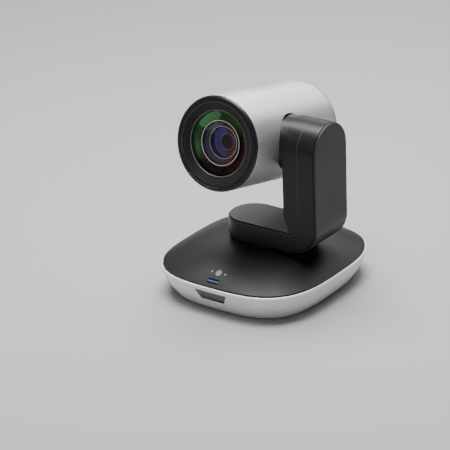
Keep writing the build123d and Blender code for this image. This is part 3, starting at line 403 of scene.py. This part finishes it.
def add_seam_highlight(material):
    """Painted highlight along the edge where the inner cover meets the outer shell."""
    tree = material.node_tree
    corner_x = SEAM_X - SEAM_CORNER
    corner_z = FOOT_EDGE_Z + SEAM_CORNER
    across = axis_of(tree, "X")
    height = axis_of(tree, "Z")
    straight = maths(
        tree, "MULTIPLY",
        maths(tree, "GREATER_THAN", across, SEAM_X - SEAM_WIDTH),
        maths(tree, "GREATER_THAN", height, corner_z),
    )
    side = maths(tree, "SUBTRACT", across, corner_x)
    drop = maths(tree, "SUBTRACT", height, corner_z)
    reach = maths(
        tree, "SQRT", maths(tree, "ADD", maths(tree, "POWER", side, 2.0), maths(tree, "POWER", drop, 2.0))
    )
    quarter = maths(
        tree, "MULTIPLY", maths(tree, "GREATER_THAN", side, 0.0), maths(tree, "LESS_THAN", drop, 0.0)
    )
    rounded = maths(
        tree, "MULTIPLY", quarter, maths(tree, "GREATER_THAN", reach, SEAM_CORNER - SEAM_WIDTH)
    )
    # painted highlight: a paler line along the joint, straight above and round at its lower corner
    repaint(material, maths(tree, "MAXIMUM", straight, rounded), (0.045, 0.046, 0.050))


BOSS_EDGE_X = 0.0320       # the boss's inner edge, beside the tilting hub
BOSS_LOW_Z = 0.0930
PLATE_GROOVE_X = 0.0578    # groove between the arm's shell and its end plate
# near-black painted shade for the grooves round the boss and the end plate
PAINTED_GROOVE_SHADE = (0.0015, 0.0015, 0.002)


def add_boss_groove_shade(material):
    """Painted shade in the groove round the boss, where the hub enters it."""
    tree = material.node_tree
    edge = maths(tree, "LESS_THAN", axis_of(tree, "X"), BOSS_EDGE_X)
    above = maths(tree, "GREATER_THAN", axis_of(tree, "Z"), BOSS_LOW_Z)
    repaint(material, maths(tree, "MULTIPLY", edge, above), PAINTED_GROOVE_SHADE)


def add_plate_groove_shade(material):
    """Painted shade in the groove round the end plate, where it meets the shell."""
    tree = material.node_tree
    repaint(material, maths(tree, "LESS_THAN", axis_of(tree, "X"), PLATE_GROOVE_X), PAINTED_GROOVE_SHADE)


def add_foot_edge_highlight(material):
    """Painted highlight along the upper edge of the foot's wall."""
    tree = material.node_tree
    band = between(tree, axis_of(tree, "Z"), FOOT_EDGE_Z - SEAM_WIDTH, FOOT_EDGE_Z + SEAM_WIDTH)
    inside = maths(tree, "LESS_THAN", axis_of(tree, "X"), SEAM_X - SEAM_CORNER)
    repaint(material, maths(tree, "MULTIPLY", band, inside), (0.055, 0.056, 0.060))


def add_red_reflection(material):
    """Painted red-brown reflection on the right inside of the lens barrel."""
    tree = material.node_tree
    sideways = map_range(tree, axis_of(tree, "X"), 0.0, 1.0, HEAD_X + 0.003, HEAD_X + 0.016)
    repaint(material, sideways, (0.13, 0.036, 0.024))


def make_materials():
    """Every finish by name."""
    finishes = {
        "silver_bowl": moulded("silver_bowl", (0.78, 0.79, 0.81), 0.46, 1500.0, 0.00002, 0.10, 0.30),
        "silver_tube": moulded("silver_tube", (0.88, 0.89, 0.91), 0.40, 3200.0, 0.000006, 0.04, 0.90),
        "black_satin": moulded("black_satin", (0.009, 0.0095, 0.011), 0.34, specular=0.25, edge=0.0007),
        "arm_black": moulded("arm_black", (0.009, 0.0095, 0.011), 0.34, specular=0.25, edge=0.0007),
        "shell_black": moulded("shell_black", (0.009, 0.0095, 0.011), 0.34, specular=0.25, edge=0.0007),
        "dome_black": moulded("dome_black", (0.010, 0.0105, 0.0125), 0.44, 2200.0, 0.00002, 0.25, specular=0.28),
        "cap_grey": moulded("cap_grey", (0.036, 0.037, 0.040), 0.50, 2400.0, spread=0.12, specular=0.3, edge=0.0005),
        # paler grey that paints light onto the foot's top face
        "foot_top_painted_light": moulded("foot_top_painted_light", (0.10, 0.101, 0.107), 0.42, 2400.0, spread=0.12),
        "bezel_black": moulded("bezel_black", (0.008, 0.0082, 0.009), 0.30, 3000.0, 0.000004, 0.2, specular=0.35, edge=0.0004),
        # paler black on the bezel's treads, as painted light
        "tread_painted_light": moulded("tread_painted_light", (0.040, 0.040, 0.043), 0.30, 3000.0, 0.000004, 0.2, edge=0),
        "barrel_inside": moulded("barrel_inside", (0.005, 0.005, 0.0055), 0.4, 1800.0, specular=0.3),
        # black of the inner parts, also used on the bezel's risers as painted shade
        "inner_black_and_riser_shade": moulded("inner_black_and_riser_shade", (0.004, 0.004, 0.0045), 0.5, 1800.0, specular=0.2),
        "window_dark": moulded("window_dark", (0.050, 0.050, 0.055), 0.16, 900.0, 0.000001, 0.1, coat=0.4),
        "gloss_black": moulded("gloss_black", (0.006, 0.006, 0.007), 0.10, 1200.0, 0.000001, 0.1, coat=0.5),
        "rubber": moulded("rubber", (0.02, 0.02, 0.02), 0.8, 1800.0, 0.00004, 0.3),
        "brass": moulded("brass", (0.70, 0.50, 0.22), 0.3, 1500.0, metallic=1.0),
        "steel": moulded("steel", (0.55, 0.55, 0.57), 0.32, 1500.0, metallic=1.0),
        "bright_rim": glowing_rim("bright_rim", (0.95, 0.90, 0.83), 0.28),
        "dim_rim": glowing_rim("dim_rim", (0.42, 0.40, 0.38), 0.03),
        "acetal": moulded("acetal", (0.80, 0.79, 0.75), 0.4, 2000.0, spread=0.04),
        "aluminium": moulded("aluminium", (0.62, 0.63, 0.65), 0.34, 1700.0, spread=0.08, metallic=1.0),
        "circuit_board": moulded("circuit_board", (0.02, 0.14, 0.06), 0.35, 700.0, spread=0.35),
        "chip_black": moulded("chip_black", (0.02, 0.02, 0.022), 0.55, 2500.0, spread=0.2),
        "pale_print": moulded("pale_print", (0.30, 0.30, 0.31), 0.6, 2500.0, spread=0.05, edge=0),
        "blue_light": slit_light("blue_light", (0.02, 0.16, 0.55), 0.22),
        "front_glass": coated_glass(
            "front_glass", (0.93, 0.94, 0.93), (0.22, 0.60, 0.24), (0.07, 0.05, 0.045),
            1.7, 0.02, 0.009, slant=1.5, middle=(0.0158, (0.16, 0.15, 0.17)),
        ),
        "violet_glass": coated_glass(
            "violet_glass", (0.86, 0.85, 0.90), (0.34, 0.33, 0.52), (0.38, 0.14, 0.09),
            1.6, 0.038, 0.002, middle=(0.0112, (0.05, 0.05, 0.08)),
        ),
        "amber_glass": coated_glass(
            "amber_glass", (0.70, 0.66, 0.60), (0.30, 0.26, 0.95), (0.42, 0.17, 0.12),
            1.6, 0.11, 0.0015, middle=(0.0054, (0.13, 0.11, 0.06)),
        ),
    }
    add_lip_highlight_and_groove_shade(finishes["silver_bowl"])
    add_window_shadow(finishes["window_dark"])
    add_seam_highlight(finishes["arm_black"])
    add_boss_groove_shade(finishes["arm_black"])
    add_foot_edge_highlight(finishes["shell_black"])
    add_plate_groove_shade(finishes["cap_grey"])
    add_red_reflection(finishes["barrel_inside"])
    add_printed_sign(finishes["dome_black"])
    return finishes


FINISH_OF_SLOT = {
    "silver_plastic": "silver_bowl",
    "silver_tube": "silver_tube",
    "black_plastic": "black_satin",
    "dark_cap": "cap_grey",
    "gloss_black": "gloss_black",
    "blue_light": "blue_light",
    "rubber": "rubber",
    "brass": "brass",
    "steel": "steel",
    "white_gear": "acetal",
    "aluminium": "aluminium",
    "circuit_board": "circuit_board",
    "chip_black": "chip_black",
    "lens_ring": "inner_black_and_riser_shade",
    "lens_glass": "amber_glass",
}
FINISH_OF_NODE = {
    "base_top_cover": "dome_black",
    "front_bezel": "bezel_black",
    "rear_cap": "bezel_black",
    "arm_inner_cover": "arm_black",
    "arm_outer_shell": "shell_black",
    "lens_barrel": "barrel_inside",
    "ir_window": "window_dark",
    "front_lens": "front_glass",
    "inner_lens_front": "violet_glass",
    "inner_lens_rear": "amber_glass",
}


def dress(node, material):
    """Give a piece one material."""
    node.data.materials.clear()
    node.data.materials.append(material)


def dress_all(finishes):
    """Give every CAD node its finish."""
    slot_of = {part["node"]: part["material_slot"] for part in frame["record"]["subparts"]}
    for name, node in NODES.items():
        finish = FINISH_OF_NODE.get(name, FINISH_OF_SLOT[slot_of[name]])
        dress(node, finishes[finish])


def paint_light_on_foot_top(finishes):
    """The arm's inner cover: black, with a paler grey painted on the foot's top face as painted light, since the
    head above shades it.
    """
    cover = NODES["arm_inner_cover"]
    cover.data.materials.append(finishes["foot_top_painted_light"])
    top = max(vertex.co.z for vertex in cover.data.vertices if vertex.co.x < 0)
    for face in cover.data.polygons:
        if face.normal.z > 0.9 and abs(face.center.z - top) < 0.2 * MM:
            face.material_index = 1


# ---- small pieces made here ----
def add_piece(name, points, faces, material, body):
    """Smooth mesh piece that moves with a body."""
    mesh = bpy.data.meshes.new(name)
    mesh.from_pydata([tuple(point) for point in points], [], faces)
    mesh.polygons.foreach_set("use_smooth", [True] * len(mesh.polygons))
    mesh.materials.append(material)
    piece = bpy.data.objects.new(name, mesh)
    bpy.context.scene.collection.objects.link(piece)
    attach(piece, body)
    return piece


TURN_STEPS = 144
RIM_SIDES = 12


def turned_strip(profile):
    """Points and faces of a profile of (radius, forward) places turned round the lens axis."""
    points = []
    for radius, forward in profile:
        for step in range(TURN_STEPS):
            points.append(in_head(radius, 2 * pi * step / TURN_STEPS, forward))
    faces = []
    for row in range(len(profile) - 1):
        for step in range(TURN_STEPS):
            here = row * TURN_STEPS + step
            beside = row * TURN_STEPS + (step + 1) % TURN_STEPS
            faces.append((here, beside, beside + TURN_STEPS, here + TURN_STEPS))
    return points, faces


def lens_rim(name, radius, thickness, forward, material):
    """Thin polished rim round a lens element; sizes in millimetres."""
    turns = [2 * pi * side / RIM_SIDES for side in range(RIM_SIDES + 1)]
    profile = [(radius + thickness * cos(turn), forward + thickness * sin(turn)) for turn in turns]
    points, faces = turned_strip(profile)
    return add_piece(name, points, faces, material, "head")


RIMS = (
    ("glass_rim", 23.2, 0.16, 44.9, "dim_rim"),
    ("outer_lens_rim", 15.7, 0.24, 42.3, "bright_rim"),
    ("middle_lens_rim", 11.3, 0.20, 38.9, "bright_rim"),
    ("inner_lens_rim", 5.7, 0.18, 33.5, "bright_rim"),
)


def add_rims(finishes):
    """Polished rims of the front glass and of the three lens groups."""
    for name, radius, thickness, forward, finish in RIMS:
        lens_rim(name, radius, thickness, forward, finishes[finish])


STEP_COUNT = 5
STEP_OUTER = 28.9
STEP_WIDTH = 1.08
STEP_TOP = 47.56
STEP_DROP = 0.54


def add_bezel_steps(finishes):
    """Fine light-trapping steps down the inside of the bezel, the treads painted paler as painted light and the
    risers darker as painted shade.
    """
    treads = []
    risers = []
    for number in range(STEP_COUNT):
        outer = STEP_OUTER - number * STEP_WIDTH
        inner = outer - STEP_WIDTH
        tread = STEP_TOP - number * STEP_DROP
        groove = outer - STEP_WIDTH * 0.55
        treads.append(((outer, tread), (groove, tread)))
        risers.append(((groove, tread), (inner, tread), (inner, tread - STEP_DROP)))
    for name, strips, finish in (("bezel_treads", treads, "tread_painted_light"), ("bezel_risers", risers, "inner_black_and_riser_shade")):
        points = []
        faces = []
        for strip in strips:
            strip_points, strip_faces = turned_strip(strip)
            first = len(points)
            points.extend(strip_points)
            faces.extend(tuple(corner + first for corner in face) for face in strip_faces)
        add_piece(name, points, faces, finishes[finish], "head")


MARK_COUNT = 15
MARK_SPREAD = radians(46)
MARK_MIDDLE = radians(-106)


def add_bezel_marks(finishes):
    """Fine printed marks round the lower front of the bezel."""
    points = []
    faces = []
    for number in range(MARK_COUNT):
        angle = MARK_MIDDLE + MARK_SPREAD * (number / (MARK_COUNT - 1) - 0.5)
        length = 1.3 if number % 5 == 0 else 0.7
        width = 0.16 / 31.0
        for radius, turn in ((30.3, -width), (30.3 + length, -width), (30.3 + length, width), (30.3, width)):
            points.append(in_head(radius, angle + turn, BEZEL_FACE))
        first = 4 * number
        faces.append((first, first + 1, first + 2, first + 3))
    add_piece("bezel_marks", points, faces, finishes["pale_print"], "head")


BEZEL_FACE = 47.93


make_camera()
make_studio()
FINISHES = make_materials()
dress_all(FINISHES)
paint_light_on_foot_top(FINISHES)
add_rims(FINISHES)
add_bezel_steps(FINISHES)
add_bezel_marks(FINISHES)
